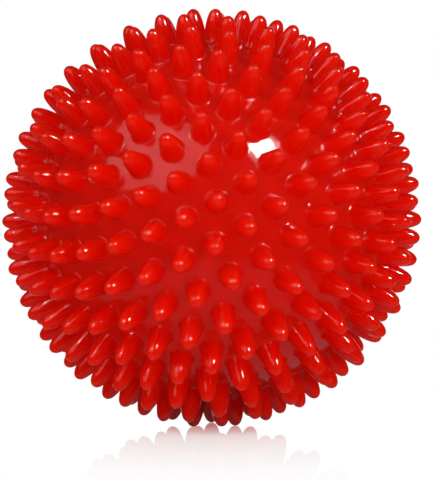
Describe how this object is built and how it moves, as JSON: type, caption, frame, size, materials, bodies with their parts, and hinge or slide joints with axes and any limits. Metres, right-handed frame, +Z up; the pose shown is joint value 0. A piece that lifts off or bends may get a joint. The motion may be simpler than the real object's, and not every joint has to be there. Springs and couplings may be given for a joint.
{
  "type": "spiky massage ball",
  "caption": "Round massage ball with a hollow soft skin covered in blunt moulded spikes, and a pull-out plug in its air valve.",
  "frame": {"origin": "on the floor, straight below the middle of the ball, which rests there on three spike tips", "axes": "+Z up; -Y towards the viewer of the pose it lies in; the spike rings' axis leans so that three tips share the floor, and the valve is at its lower end, facing away and down"},
  "size_m": [0.09, 0.0895, 0.0895],
  "materials": {
    "skin": "gloss",
    "sleeve": "satin",
    "plug": "satin"
  },
  "bodies": {
    "ball": {"ball_shell": "skin", "valve_sleeve": "sleeve"},
    "plug": {"valve_plug": "plug"}
  },
  "joints": [
    {"name": "plug_pull", "type": "slide", "parent": "ball", "child": "plug", "axis": [0.4493, 0.3704, -0.813], "range_m": [0, 0.014]}
  ]
}
